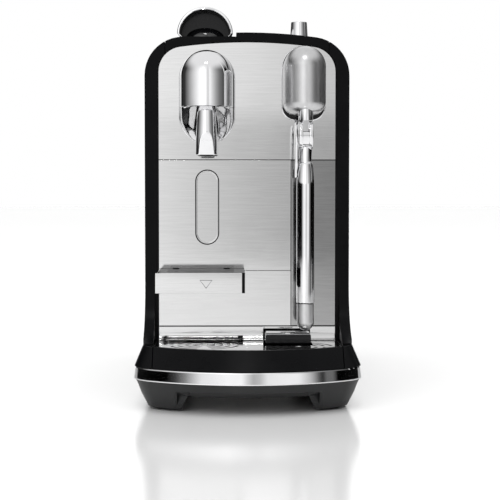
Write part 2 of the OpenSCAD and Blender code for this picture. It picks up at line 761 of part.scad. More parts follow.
module cup_support() color([0.05, 0.05, 0.05]) {
  rear = panel_y - 0.9;
  difference() {
    block([shelf_x0 + 1.5, shelf_front_y + 1.5, shelf_z0], [shelf_x1, rear, shelf_top]);
    block([shelf_x0 + 4, shelf_front_y + 4, 0], [shelf_x1 - 2.2, rear - 2, shelf_top - 2.6]);
    for (x = hinge_lugs) block([x - 2.5, hinge_y - 4, 0], [x + 2.5, 0, far]);
    along_x(-far, far) translate([hinge_y, hinge_z]) difference() {
      square(10);
      circle(4.2);
    }
    for (y = [-160:8:-128]) block([shelf_x0 + 8, y, shelf_top - 0.8], [shelf_x1 - 8, y + 2, far]);
  }
  bar_x(shelf_x0 + 3.9, shelf_x1 - 2, hinge_y, hinge_z, 1.5);
}

module cup_support_trim() color("silver") difference() {
  block([shelf_x0, shelf_front_y, shelf_z0], [-4.5, rim_y - 2, shelf_top]);
  block([shelf_x0 + 1.5, shelf_front_y + 1.5, 0], [far, 0, far]);
}

// ---- Water tank

module tank_plan(i) polygon(concat(
  [[i - body_hw, tank_y0 + i], [body_hw - i, tank_y0 + i]],
  arc([58, tank_y1 - 22], 22 - i, 0, 90, 8), arc([-58, tank_y1 - 22], 22 - i, 90, 180, 8)));

module tank_solid(i, z0, z1) intersection() {
  translate([0, 0, z0]) linear_extrude(z1 - z0) tank_plan(i);
  along_y(0, far) housing_outline(i, 0);
}

module tank_seat() color([0.05, 0.05, 0.05]) difference() {
  union() {
    translate([0, 0, deck_z]) linear_extrude(11) tank_plan(0);
    bar_z(0, valve_y, 44, deck_z + eps, 8);
  }
  bar_z(0, valve_y, 52.8, 70, 9.6);
  bar_z(0, valve_y, 40, 60, 3.2);
}

module water_tank() color([0.55, 0.6, 0.65, 0.5]) difference() {
  tank_solid(0.5, tank_z0, tank_lid_z);
  tank_solid(0.5 + tank_wall, tank_z0 + tank_wall, tank_lid_z + 10);
}

module tank_valve() color("gray") {
  bar_z(0, valve_y, 54, tank_z0, 9);
}

module tank_lid() color([0.05, 0.05, 0.055]) difference() {
  tank_solid(0.5, tank_lid_z, far);
  tank_solid(4, tank_lid_z - 1, tank_lid_z + 12);
  bar_y(0, tank_y1 - 3, far, tank_lid_z, 8);
}

base_frame();
base_trim();
base_skirt();
rubber_feet();
base_screws();
left_side_panel();
right_side_panel();
top_cover();
rear_panel();
chassis();
front_panel();
side_front_panel();
coffee_head_cap();
coffee_head_base();
coffee_spout();
spout_nozzle();
steam_head();
steam_flange();
wand_socket();
control_panel();
display_glass();
brew_frame();
capsule_chute();
thermoblock();
steam_heater();
pump();
flow_meter();
solenoid_valve();
circuit_boards();
water_hoses();
steam_pipe();
tank_seat();
sensor_housing();
sensor_contact();
lever_pin();
cord_gland();
lever_handle();
lever_liner();
brew_cage();
dial_plunger();
selection_dial();
coffee_button();
milk_button();
temperature_button();
froth_button();
drip_tray();
drip_grid();
tray_float();
capsule_container();
container_front();
grip_insert();
lower_front();
cup_support();
cup_support_trim();
wand_knuckle();
wand_tube();
wand_tip();
water_tank();
tank_valve();
tank_lid();
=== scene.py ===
"""Looks of the pod coffee machine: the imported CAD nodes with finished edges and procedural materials,
and the shaped pieces, such as the heads, the lever and the wand, made again at full resolution."""
import json
import math

import bmesh
import bpy
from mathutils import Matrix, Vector


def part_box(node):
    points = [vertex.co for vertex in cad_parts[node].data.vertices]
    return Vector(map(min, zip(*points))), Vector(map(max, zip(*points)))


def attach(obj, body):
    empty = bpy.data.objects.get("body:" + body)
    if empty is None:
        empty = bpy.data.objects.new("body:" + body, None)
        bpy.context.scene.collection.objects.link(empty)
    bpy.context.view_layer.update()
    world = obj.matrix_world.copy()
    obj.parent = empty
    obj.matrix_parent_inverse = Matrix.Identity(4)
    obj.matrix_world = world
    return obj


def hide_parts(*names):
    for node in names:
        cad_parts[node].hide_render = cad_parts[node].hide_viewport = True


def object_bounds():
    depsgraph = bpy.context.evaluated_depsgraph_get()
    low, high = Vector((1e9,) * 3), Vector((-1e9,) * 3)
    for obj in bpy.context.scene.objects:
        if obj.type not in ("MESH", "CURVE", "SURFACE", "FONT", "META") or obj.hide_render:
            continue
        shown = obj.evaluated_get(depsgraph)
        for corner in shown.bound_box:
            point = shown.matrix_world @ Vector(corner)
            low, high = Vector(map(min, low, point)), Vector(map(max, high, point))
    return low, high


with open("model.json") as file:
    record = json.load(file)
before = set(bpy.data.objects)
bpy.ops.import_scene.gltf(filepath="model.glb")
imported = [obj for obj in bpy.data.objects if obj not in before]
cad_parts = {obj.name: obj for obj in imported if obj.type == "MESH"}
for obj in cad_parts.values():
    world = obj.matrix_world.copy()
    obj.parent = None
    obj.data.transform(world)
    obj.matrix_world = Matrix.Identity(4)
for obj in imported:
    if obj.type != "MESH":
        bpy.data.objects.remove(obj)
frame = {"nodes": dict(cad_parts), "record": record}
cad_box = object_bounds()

MM = 0.001
SENSOR_WIDTH = 36
LENS = 94.8
EYE_X = -0.015                          # the camera's place and the floor's sizes are in metres
EYE_DISTANCE = 0.951
EYE_HEIGHT = 0.165
VIEW_DIRECTION = (0.0167, 1, -0.0456)
TABLE_RADIUS = 1.15                     # low reflections pass its edge and see the room
FLOOR_RADIUS = 12
FLOOR_STEPS = 96
WELD_DISTANCE = 2e-6
JOIN_DISTANCE = 1e-6
CREASE = 30                             # degrees; a sharper edge stays crisp
NODES = frame["nodes"]
SLOT_OF = {s["node"]: s["material_slot"] for s in frame["record"]["subparts"]}
scene = bpy.context.scene
scene.view_settings.view_transform = "Standard"


# ---- Camera, floor and light

def look_at(obj, place, direction):
    """Places an object, turns it to look along a direction and adds it to the scene."""
    obj.location = place
    obj.rotation_euler = Vector(direction).to_track_quat("-Z", "Y").to_euler()
    scene.collection.objects.link(obj)


def make_camera():
    """The eye is a little left of the middle, level with the top of the wand's straight part."""
    data = bpy.data.cameras.new("camera")
    data.sensor_width = SENSOR_WIDTH
    data.lens = LENS
    camera = bpy.data.objects.new("camera", data)
    eye = Vector((EYE_X, cad_box[0][1] - EYE_DISTANCE, EYE_HEIGHT))
    look_at(camera, eye, VIEW_DIRECTION)
    scene.camera = camera


def area_light(name, place, target, size, power):
    """White area light that shines on a target and doesn't show in reflections."""
    data = bpy.data.lights.new(name, "AREA")
    data.shape = "RECTANGLE"
    data.size, data.size_y = size
    data.energy = power
    light = bpy.data.objects.new(name, data)
    light.visible_glossy = False
    look_at(light, Vector(place), Vector(target) - Vector(place))
    return light


def azimuth_ramp(nt, turn, stops):
    """Brightness by azimuth: degrees from the front, negative to the left, and the value there."""
    ramp = nt.nodes.new("ShaderNodeValToRGB")
    nt.links.new(turn, ramp.inputs["Fac"])
    spots = ramp.color_ramp.elements
    for degrees, value in stops:
        if abs(degrees) == 180:
            spot = spots[0 if degrees < 0 else len(spots) - 1]
        else:
            spot = spots.new((degrees + 180) / 360)
        spot.color = (value, value, value, 1)
    return ramp.outputs["Color"]


def world_blend(nt, factor, a, b):
    """Colour a where factor is 0 and b where it is 1; each is a socket or a plain colour."""
    mix = nt.nodes.new("ShaderNodeMix")
    mix.data_type = "RGBA"
    nt.links.new(factor, mix.inputs[0])
    for socket, source in ((mix.inputs[6], a), (mix.inputs[7], b)):
        if isinstance(source, tuple):
            socket.default_value = (*source, 1)
        else:
            nt.links.new(source, socket)
    return mix.outputs[2]


def world_math(nt, operation, a, b=None):
    """One maths node; b is a socket, a number or left out."""
    node = nt.nodes.new("ShaderNodeMath")
    node.operation = operation
    nt.links.new(a, node.inputs[0])
    if isinstance(b, (int, float)):
        node.inputs[1].default_value = b
    elif b:
        nt.links.new(b, node.inputs[1])
    return node.outputs[0]


def world_step(nt, value, start, end):
    """Smooth step from 0 at start to 1 at end."""
    node = nt.nodes.new("ShaderNodeMapRange")
    node.interpolation_type = "SMOOTHSTEP"
    node.inputs["From Min"].default_value = start
    node.inputs["From Max"].default_value = end
    nt.links.new(value, node.inputs["Value"])
    return node.outputs[0]


# Brightness at the horizon and above it, by azimuth; heights are sines of the elevation, up or down
LEVEL_STOPS = [
    (-180, 1.15), (-164, 1.15), (-158, 0.01), (-58, 0.0), (-51, 0.06), (-44, 0.25), (-32, 0.9),
    (-15, 1.1), (-4, 1.1), (0, 0.75), (4, 0.5), (9, 0.6), (14, 0.95), (36, 1.0), (44, 0.6),
    (51, 0.12), (54, 0.02), (57, 0.15), (62, 0.15), (66, 0.0), (158, 0.01), (164, 1.15),
    (180, 1.15)]
UPPER_STOPS = [
    (-180, 1.15), (-164, 1.15), (-158, 0.01), (-108, 0.04), (-88, 0.25), (-66, 0.6), (-34, 1.15),
    (-14, 1.7), (-4, 1.2), (1, 1.05), (4, 0.8), (8, 0.75), (14, 1.1), (28, 0.7), (42, 0.4),
    (58, 0.2), (76, 0.1), (82, 0.02), (84, 0.95), (87, 0.95), (89, 0.0), (108, 0.0), (110, 0.5),
    (113, 0.5), (115, 0.0), (132, 0.0), (135, 0.4), (138, 0.4), (141, 0.0), (158, 0.01),
    (164, 1.15), (180, 1.15)]
UPPER_FROM = (0.05, 0.062)
SKY_FROM = (0.35, 0.8)
SKY = (0.9, 0.9, 0.9)


def make_world():
    """A white studio with dark flags at both sides, which give the polished metal its edges."""
    world = bpy.data.worlds.new("studio")
    scene.world = world
    world.use_nodes = True
    nt = world.node_tree
    nt.nodes.clear()
    out = nt.nodes.new("ShaderNodeOutputWorld")
    back = nt.nodes.new("ShaderNodeBackground")
    coord = nt.nodes.new("ShaderNodeTexCoord")
    split = nt.nodes.new("ShaderNodeSeparateXYZ")
    nt.links.new(coord.outputs["Generated"], split.inputs[0])
    ahead = world_math(nt, "MULTIPLY", split.outputs["Y"], -1)
    angle = world_math(nt, "ARCTAN2", split.outputs["X"], ahead)
    turn = nt.nodes.new("ShaderNodeMapRange")
    turn.inputs["From Min"].default_value = -math.pi
    turn.inputs["From Max"].default_value = math.pi
    nt.links.new(angle, turn.inputs["Value"])
    level = azimuth_ramp(nt, turn.outputs[0], LEVEL_STOPS)
    upper = azimuth_ramp(nt, turn.outputs[0], UPPER_STOPS)
    rise = world_math(nt, "ABSOLUTE", split.outputs["Z"])
    low = world_blend(nt, world_step(nt, rise, *UPPER_FROM), level, upper)
    high = world_blend(nt, world_step(nt, rise, *SKY_FROM), low, SKY)
    path = nt.nodes.new("ShaderNodeLightPath")
    seen = world_blend(nt, path.outputs["Is Camera Ray"], high, (1.0, 1.0, 1.0))
    nt.links.new(seen, back.inputs["Color"])
    nt.links.new(back.outputs[0], out.inputs["Surface"])


def floor_part(name, inner, outer, mat):
    """Flat ring of floor round the object."""
    mesh = bpy.data.meshes.new(name)
    n = FLOOR_STEPS
    turns = [2 * math.pi * k / n for k in range(n)]
    verts = [(r * math.cos(a), r * math.sin(a), 0) for r in (inner, outer) for a in turns]
    faces = [(k, (k + 1) % n, n + (k + 1) % n, n + k) for k in range(n)]
    if not inner:
        verts = verts[n:]
        faces = [tuple(range(n))]
    mesh.from_pydata(verts, [], faces)
    mesh.materials.append(mat)
    part = bpy.data.objects.new(name, mesh)
    scene.collection.objects.link(part)
    return part


def make_stage():
    """Glossy white table, and the same floor carried on to the horizon for the camera only."""
    mat, _, bsdf = new_material("floor_white")
    bsdf.inputs["Base Color"].default_value = (0.9, 0.9, 0.9, 1)
    bsdf.inputs["IOR"].default_value = 2.3
    bsdf.inputs["Roughness"].default_value = 0.16
    floor_part("floor", 0, TABLE_RADIUS, mat)
    far = floor_part("floor_far", TABLE_RADIUS, FLOOR_RADIUS, mat)
    far.visible_glossy = False
    far.visible_diffuse = False


def make_lights():
    """A wide light above, one from the left, and a small one that glints on the lever."""
    area_light("top", (0, 0.0, 1.9), (0, 0, 0), (1.8, 1.8), 15)
    area_light("key_left", (-1.1, -1.3, 1.3), (0, 0, 0.15), (1.0, 1.2), 6)
    glint = area_light("glint", (-0.05, -0.9, 1.35), (-0.033, -0.1, 0.29), (0.2, 0.1), 1.6)
    glint.visible_glossy = True


# ---- Materials

NOISE_BAND = (0.35, 0.65)               # most values of a noise lie between these
FINE_RELIEF = 0.0002                    # metres
FLOW_RELIEF = 0.001


def new_material(name):
    """A material with its node tree and its main shader."""
    mat = bpy.data.materials.new(name)
    mat.use_nodes = True
    bsdf = next(n for n in mat.node_tree.nodes if n.type == "BSDF_PRINCIPLED")
    return mat, mat.node_tree, bsdf


def noise(nt, scale, stretch=(1, 1, 1), detail=4, roughness=0.55):
    """Noise in the piece's own coordinates; scale is per metre, so 1000 gives millimetre grain."""
    coord = nt.nodes.new("ShaderNodeTexCoord")
    mapping = nt.nodes.new("ShaderNodeMapping")
    mapping.inputs["Scale"].default_value = stretch
    tex = nt.nodes.new("ShaderNodeTexNoise")
    tex.inputs["Scale"].default_value = scale
    tex.inputs["Detail"].default_value = detail
    tex.inputs["Roughness"].default_value = roughness
    nt.links.new(coord.outputs["Object"], mapping.inputs["Vector"])
    nt.links.new(mapping.outputs[0], tex.inputs["Vector"])
    return tex.outputs["Fac"]


def spread(nt, value, low, high):
    """Maps a noise value onto low to high."""
    node = nt.nodes.new("ShaderNodeMapRange")
    node.inputs["From Min"].default_value = NOISE_BAND[0]
    node.inputs["From Max"].default_value = NOISE_BAND[1]
    node.inputs["To Min"].default_value = low
    node.inputs["To Max"].default_value = high
    nt.links.new(value, node.inputs["Value"])
    return node.outputs[0]


def blend_colors(nt, factor, a, b):
    """Blends two colours by a noise value."""
    ramp = nt.nodes.new("ShaderNodeValToRGB")
    for spot, color in zip(ramp.color_ramp.elements, (a, b)):
        spot.color = (*color, 1)
    ramp.color_ramp.elements[0].position = NOISE_BAND[0]
    ramp.color_ramp.elements[1].position = NOISE_BAND[1]
    nt.links.new(factor, ramp.inputs["Fac"])
    return ramp.outputs["Color"]


def bump(nt, height, strength, distance):
    """Relief from a noise value."""
    node = nt.nodes.new("ShaderNodeBump")
    node.inputs["Strength"].default_value = strength
    node.inputs["Distance"].default_value = distance
    nt.links.new(height, node.inputs["Height"])
    return node.outputs["Normal"]


def metal(name, dark, light, rough_low, rough_high, grain=(1, 1, 1), grain_scale=60, relief=0.0,
          relief_scale=900):
    """Metal with slight tint and polish variation; grain stretches it into brushing."""
    mat, nt, bsdf = new_material(name)
    bsdf.inputs["Metallic"].default_value = 1.0
    tint = noise(nt, grain_scale, grain)
    nt.links.new(blend_colors(nt, tint, dark, light), bsdf.inputs["Base Color"])
    smear = noise(nt, 45, (1, 1, 1), 3)
    nt.links.new(spread(nt, smear, rough_low, rough_high), bsdf.inputs["Roughness"])
    if relief:
        lines = noise(nt, relief_scale, grain, 5, 0.7)
        nt.links.new(bump(nt, lines, relief, FINE_RELIEF), bsdf.inputs["Normal"])
    return mat


def plastic(name, dark, light, rough_low, rough_high, grain_scale=2200, relief=0.12, coat=0.0,
            specular=0.5):
    """Moulded plastic: a fine skin texture, slight cloudiness and a sheen that varies with handling."""
    mat, nt, bsdf = new_material(name)
    cloud = noise(nt, 35, (1, 1, 1), 3)
    nt.links.new(blend_colors(nt, cloud, dark, light), bsdf.inputs["Base Color"])
    smear = noise(nt, 70, (1, 1, 1), 4)
    nt.links.new(spread(nt, smear, rough_low, rough_high), bsdf.inputs["Roughness"])
    if relief:
        texture = noise(nt, grain_scale, (1, 1, 1), 2)
        nt.links.new(bump(nt, texture, relief, FINE_RELIEF), bsdf.inputs["Normal"])
    bsdf.inputs["Specular IOR Level"].default_value = specular
    bsdf.inputs["Coat Weight"].default_value = coat
    bsdf.inputs["Coat Roughness"].default_value = 0.06
    return mat


def clear_plastic(name, tint, roughness, transmission):
    """Tinted clear plastic with a faint flow in its surface."""
    mat, nt, bsdf = new_material(name)
    bsdf.inputs["Base Color"].default_value = (*tint, 1)
    bsdf.inputs["Transmission Weight"].default_value = transmission
    bsdf.inputs["IOR"].default_value = 1.49
    smear = noise(nt, 60, (1, 1, 1), 3)
    nt.links.new(spread(nt, smear, roughness, roughness + 0.08), bsdf.inputs["Roughness"])
    flow = noise(nt, 25, (1, 1, 3), 2)
    nt.links.new(bump(nt, flow, 0.05, FLOW_RELIEF), bsdf.inputs["Normal"])
    return mat


MATERIALS = {
    "black_housing": plastic("black_housing", (0.0022, 0.0023, 0.0028), (0.0034, 0.0035, 0.004),
                             0.26, 0.34, 1600, 0.06, 0, 0.07),
    "grey_base": plastic("grey_base", (0.013, 0.0135, 0.014), (0.018, 0.0185, 0.019),
                         0.32, 0.42, 1500, 0.18, 0, 0.35),
    "chrome": metal("chrome", (0.80, 0.80, 0.81), (0.86, 0.86, 0.87), 0.03, 0.07, (1, 1, 1), 40),
    "satin_metal": metal("satin_metal", (0.60, 0.60, 0.605), (0.64, 0.64, 0.645),
                         0.3, 0.33, (1, 1, 0.3), 500, 0.006),
    "brushed_steel": metal("brushed_steel", (0.66, 0.66, 0.66), (0.70, 0.70, 0.70),
                           0.06, 0.09, (0.03, 1, 1), 1400, 0.003),
    # A darker copy of brushed_steel: painted shade for the side front panel's dimmer reflections
    "shaded_steel": metal("shaded_steel", (0.36, 0.36, 0.36), (0.40, 0.40, 0.40),
                         0.07, 0.1, (0.03, 1, 1), 1400, 0.003),
    "rubber": plastic("rubber", (0.015, 0.015, 0.015), (0.025, 0.025, 0.025), 0.6, 0.8, 900, 0.3),
    "plated_steel": metal("plated_steel", (0.50, 0.51, 0.54), (0.62, 0.61, 0.58), 0.3, 0.45, (1, 1, 1),
                          120, 0.1),
    "inner_black": plastic("inner_black", (0.004, 0.004, 0.005), (0.007, 0.007, 0.008),
                           0.16, 0.26, 1200, 0.04, 0.05, 0.25),
    "gloss_black": plastic("gloss_black", (0.004, 0.004, 0.005), (0.007, 0.007, 0.008),
                           0.05, 0.1, 400, 0.01, 0.6),
    "display_glass": plastic("display_glass", (0.006, 0.008, 0.010), (0.010, 0.013, 0.016),
                             0.04, 0.07, 300, 0.005, 1.0),
    "inner_grey": plastic("inner_grey", (0.16, 0.165, 0.17), (0.2, 0.205, 0.21), 0.4, 0.55),
    "cast_aluminium": metal("cast_aluminium", (0.48, 0.48, 0.49), (0.6, 0.6, 0.61),
                            0.35, 0.5, (1, 1, 1), 300, 0.3, 700),
    "coil_tape": plastic("coil_tape", (0.42, 0.30, 0.09), (0.52, 0.38, 0.13), 0.35, 0.5, 300, 0.2),
    "board_green": plastic("board_green", (0.01, 0.09, 0.03), (0.02, 0.15, 0.05), 0.25, 0.4, 260, 0.35),
    "hose_silicone": clear_plastic("hose_silicone", (0.85, 0.88, 0.9), 0.2, 0.5),
    "copper": metal("copper", (0.62, 0.30, 0.17), (0.78, 0.45, 0.30), 0.2, 0.4, (1, 1, 1), 90, 0.05),
    "float_red": plastic("float_red", (0.40, 0.015, 0.01), (0.48, 0.02, 0.015), 0.2, 0.3),
    "smoked_plastic": clear_plastic("smoked_plastic", (0.42, 0.44, 0.46), 0.05, 0.92),
}


# ---- Mesh tools

def edge_finish_group():
    """Smooth shading that stays crisp where two faces meet at more than CREASE degrees."""
    group = bpy.data.node_groups.new("shade_by_angle", "GeometryNodeTree")
    group.interface.new_socket("Geometry", in_out="INPUT", socket_type="NodeSocketGeometry")
    group.interface.new_socket("Geometry", in_out="OUTPUT", socket_type="NodeSocketGeometry")
    start = group.nodes.new("NodeGroupInput")
    end = group.nodes.new("NodeGroupOutput")
    faces = group.nodes.new("GeometryNodeSetShadeSmooth")
    faces.domain = "FACE"
    edges = group.nodes.new("GeometryNodeSetShadeSmooth")
    edges.domain = "EDGE"
    edges.inputs["Shade Smooth"].default_value = False
    angle = group.nodes.new("GeometryNodeInputMeshEdgeAngle")
    compare = group.nodes.new("FunctionNodeCompare")
    compare.data_type = "FLOAT"
    compare.operation = "GREATER_THAN"
    compare.inputs[1].default_value = math.radians(CREASE)
    group.links.new(angle.outputs["Unsigned Angle"], compare.inputs[0])
    group.links.new(start.outputs[0], faces.inputs["Geometry"])
    group.links.new(faces.outputs[0], edges.inputs["Geometry"])
    group.links.new(compare.outputs[0], edges.inputs["Selection"])
    group.links.new(edges.outputs[0], end.inputs[0])
    return group


SHADE = edge_finish_group()


def shade(obj):
    """Smooth shading with crisp edges, led by the large faces."""
    obj.modifiers.new("shade", "NODES").node_group = SHADE
    flats = obj.modifiers.new("flats", "WEIGHTED_NORMAL")
    flats.weight = 80
    flats.keep_sharp = True


def round_edges(obj, width, segments, angle):
    """Rounds the edges sharper than angle degrees by width millimetres."""
    bevel = obj.modifiers.new("bevel", "BEVEL")
    bevel.width = width * MM
    bevel.segments = segments
    bevel.limit_method = "ANGLE"
    bevel.angle_limit = math.radians(angle)


def finish_node(name, width):
    """A CAD node with its corners rounded by width millimetres and its slot's material.

    The side front panel is the exception: its steel is darker than its slot's, a painted shade for the
    dimmer reflections on that panel.
    """
    obj = NODES[name]
    weld = obj.modifiers.new("weld", "WELD")
    weld.merge_threshold = WELD_DISTANCE
    flat = obj.modifiers.new("flat", "DECIMATE")
    flat.decimate_type = "DISSOLVE"
    flat.angle_limit = math.radians(1.0)
    if width:
        round_edges(obj, width, 2, 28)
    shade(obj)
    paint(obj, SLOT_OF[name])
    # Painted shade: this panel takes a darker copy of its steel.
    if name == "side_front_panel":
        obj.data.materials[0] = MATERIALS["shaded_steel"]


def paint(obj, slot):
    """Gives an object one material slot and that slot's material."""
    obj.data.materials.clear()
    obj.data.materials.append(MATERIALS[slot])


def new_piece(name, verts, faces, slot, body, stands_for=()):
    """A mesh from vertices in millimetres, which rides on a body and takes a material slot."""
    mesh = bpy.data.meshes.new(name)
    mesh.from_pydata([Vector(v) * MM for v in verts], [], faces)
    bm = bmesh.new()
    bm.from_mesh(mesh)
    bmesh.ops.remove_doubles(bm, verts=bm.verts, dist=JOIN_DISTANCE)
    bmesh.ops.recalc_face_normals(bm, faces=bm.faces)
    bm.to_mesh(mesh)
    bm.free()
    obj = bpy.data.objects.new(name, mesh)
    scene.collection.objects.link(obj)
    obj.data.materials.append(MATERIALS[slot])
    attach(obj, body)
    if stands_for:
        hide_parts(*stands_for)
    return obj


def skin(rings, closed=True, cap_first=True, cap_last=True):
    """Vertices and quads through rings of equal length."""
    n = len(rings[0])
    verts = [p for ring in rings for p in ring]
    faces = []
    for k in range(len(rings) - 1):
        for i in range(n if closed else n - 1):
            j = (i + 1) % n
            faces.append((k * n + i, k * n + j, (k + 1) * n + j, (k + 1) * n + i))
    if cap_first:
        faces.append(tuple(range(n))[::-1])
    if cap_last:
        faces.append(tuple((len(rings) - 1) * n + i for i in range(n)))
    return verts, faces


def new_box(name, low, high, slot, body):
    """Plain plate between two corners."""
    corners = [(low[0], low[1]), (high[0], low[1]), (high[0], high[1]), (low[0], high[1])]
    return new_piece(name, *skin([at_z(corners, low[2]), at_z(corners, high[2])]), slot, body)


def lathe(cx, cy, profile, steps=64, squash=None):
    """Rings round a vertical axis through a profile of (radius, height)."""
    rings = []
    for r, z in profile:
        ring = []
        for i in range(steps):
            a = 2 * math.pi * i / steps
            p = (cx + r * math.cos(a), cy + r * math.sin(a), z)
            ring.append(squash(p) if squash else p)
        rings.append(ring)
    return rings


def rounded_profile(points, radius=0.6, steps=4):
    """A polyline profile with every corner between its ends rounded."""
    out = [points[0]]
    for before, p, after in zip(points, points[1:], points[2:]):
        a, b, c = Vector(before), Vector(p), Vector(after)
        r = min(radius, (a - b).length * 0.45, (c - b).length * 0.45)
        start = b + (a - b).normalized() * r
        end = b + (c - b).normalized() * r
        for s in range(steps + 1):
            t = s / steps
            q = start * (1 - t) ** 2 + b * 2 * t * (1 - t) + end * t ** 2
            out.append(tuple(q))
    out.append(points[-1])
    return out


def mm_box(node):
    """The low and high corner of a node's box, in millimetres."""
    low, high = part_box(node)
    return [v / MM for v in low], [v / MM for v in high]


# ---- Shared shapes, in millimetres

def arc(cx, cy, r, a0, a1, n, squash=1.0):
    """Points along an arc from a0 to a1 degrees, in n steps."""
    steps = [math.radians(a0 + (a1 - a0) * k / n) for k in range(n + 1)]
    return [(cx + r * math.cos(a), cy + r * squash * math.sin(a)) for a in steps]


def at_z(points, z):
    """The points of a plan at height z."""
    return [(x, y, z) for x, y in points]


def plan(half, front, front_arc, front_corner, back, back_corner):
    """Plan of the base: a wide front arc, rounded corners and straight sides."""
    reach = front_arc - front_corner
    corner_x = half - front_corner
    lean = math.degrees(math.asin(corner_x / reach))
    arc_y = front + front_arc
    corner_y = arc_y - reach * math.cos(math.radians(lean))
    back_x = half - back_corner
    back_y = back - back_corner
    return (arc(0, arc_y, front_arc, 270 - lean, 270 + lean, 56)[:-1]
            + arc(corner_x, corner_y, front_corner, 270 + lean, 360, 20)
            + arc(back_x, back_y, back_corner, 0, 90, 16)
            + arc(-back_x, back_y, back_corner, 90, 180, 16)
            + arc(-corner_x, corner_y, front_corner, 180, 270 - lean, 20)[:-1])


def pill(x, z0, z1, r, n=32):
    """Upright pill outline as (x, z) points, counter-clockwise."""
    return arc(x, z1 - r, r, 0, 180, n) + arc(x, z0 + r, r, 180, 360, n)


def head_ring(x, half, back, straight, nose, z, n=40):
    """Section of a head: straight sides from the flange and a round nose, as the CAD has it."""
    front = back - straight
    ring = [(x - half, back, z)]
    ring += [(x + half * px, front + nose * py, z) for px, py in arc(0, 0, 1, 180, 360, n)]
    return ring + [(x + half, back, z)]


def dome(z, shoulder, r):
    """Share of the full width that a dome above the shoulder has at height z."""
    return math.sqrt(max(0.0, 1 - ((z - shoulder) / r) ** 2)) if z > shoulder else 1.0


def inset_outline(outline, middle, inset):
    """The outline of (x, z) points, moved in towards its middle."""
    out = []
    for k, (x, z) in enumerate(outline):
        before = Vector(outline[k - 1])
        after = Vector(outline[(k + 1) % len(outline)])
        along = (after - before).normalized()
        inward = Vector((-along.y, along.x))
        if inward.dot(Vector(middle) - Vector((x, z))) < 0:
            inward = -inward
        out.append((x + inward.x * inset, z + inward.y * inset))
    return out


def band(loops):
    """Ring-shaped solid through loops that each run round the same opening."""
    count = len(loops[0])
    faces = []
    for k in range(len(loops)):
        low, high = k * count, (k + 1) % len(loops) * count
        faces += [(low + i, low + (i + 1) % count, high + (i + 1) % count, high + i) for i in range(count)]
    return [p for loop in loops for p in loop], faces


def outline_band(name, outline, middle, width, front, back, slot, body):
    """Flat band of one width just inside an outline of (x, z) points."""
    inner = inset_outline(outline, middle, width)
    loops = [[(x, y, z) for x, z in points]
             for points, y in ((outline, front), (inner, front), (inner, back), (outline, back))]
    new_piece(name, *band(loops), slot, body)


# ---- Heads

COFFEE_X = -31.3
STEAM_X = 44
FLANGE_Y = -116
SPOUT_Y = -143
WAND_Y = -145
WAND_Z = 206.3
PANEL_Y = -114                          # front face of the upper, side and container panels
COFFEE_HALF = 20.2
HEAD_GROOVE = 0.982                     # share of the width left where cap and neck meet


def coffee_cap():
    """Upper part of the coffee head, with a domed top."""
    shoulder = 251.8
    levels = [228.25, 228.6, 236, 244]
    levels += [shoulder + COFFEE_HALF * math.sin(math.radians(a)) for a in range(0, 90, 3)]
    rings = []
    for k, z in enumerate(levels):
        width = dome(z, shoulder, COFFEE_HALF) * (HEAD_GROOVE if k == 0 else 1)
        rings.append(head_ring(COFFEE_X, COFFEE_HALF * width, FLANGE_Y, 18, 20 * width, z))
    shade(new_piece("coffee_head_dome", *skin(rings), "chrome", "machine", ("coffee_head_cap",)))


def coffee_neck():
    """Lower part of the coffee head, which draws in and back on its way down."""
    knee = 220.7
    rings = []
    for z in [201.5, 202, 203, 204.5, *range(206, 228, 2), 227.6, 228.0]:
        width = math.sqrt(max(0.003, 1 - ((knee - z) / COFFEE_HALF) ** 2)) if z < knee else 1
        reach = ((z - 201) / 27) ** 1.7
        nose = (4 + 16 * reach) * width
        rings.append(head_ring(COFFEE_X, COFFEE_HALF * width, FLANGE_Y, 2 + 16 * reach, nose, z))
    rings[-1] = [(COFFEE_X + (x - COFFEE_X) * HEAD_GROOVE, y, z) for x, y, z in rings[-1]]
    shade(new_piece("coffee_head_neck", *skin(rings), "chrome", "machine", ("coffee_head_base",)))


def coffee_head():
    """The coffee head's cap and neck, and the flange behind them."""
    coffee_cap()
    coffee_neck()
    pill_flange("coffee_flange", pill(COFFEE_X, 200.5, 273.7, 21.9), (COFFEE_X, 237.1))


def pill_flange(name, outline, middle):
    """Flange with a rolled front edge, standing on the front panel, and a dark ring on its face: painted
    shade for the groove round the head.
    """
    face = [(0.75, 0.1), (0.75, -0.1), (0.95, -0.25), (2.5, -0.25)]
    plate = [(0, 1.9), (0, 0.8), (0.12, 0.4), (0.4, 0.12), (0.8, 0), (2.2, 0.1)]
    # The dark ring is painted shade in the groove between the head and the flange.
    for piece, profile, slot in ((name + "_shade_ring", face, "inner_black"), (name, plate, "chrome")):
        rings = []
        for inset, y in profile:
            rings.append([(x, FLANGE_Y + y, z) for x, z in inset_outline(outline, middle, inset)])
        shade(new_piece(piece, *skin(rings), slot, "machine"))


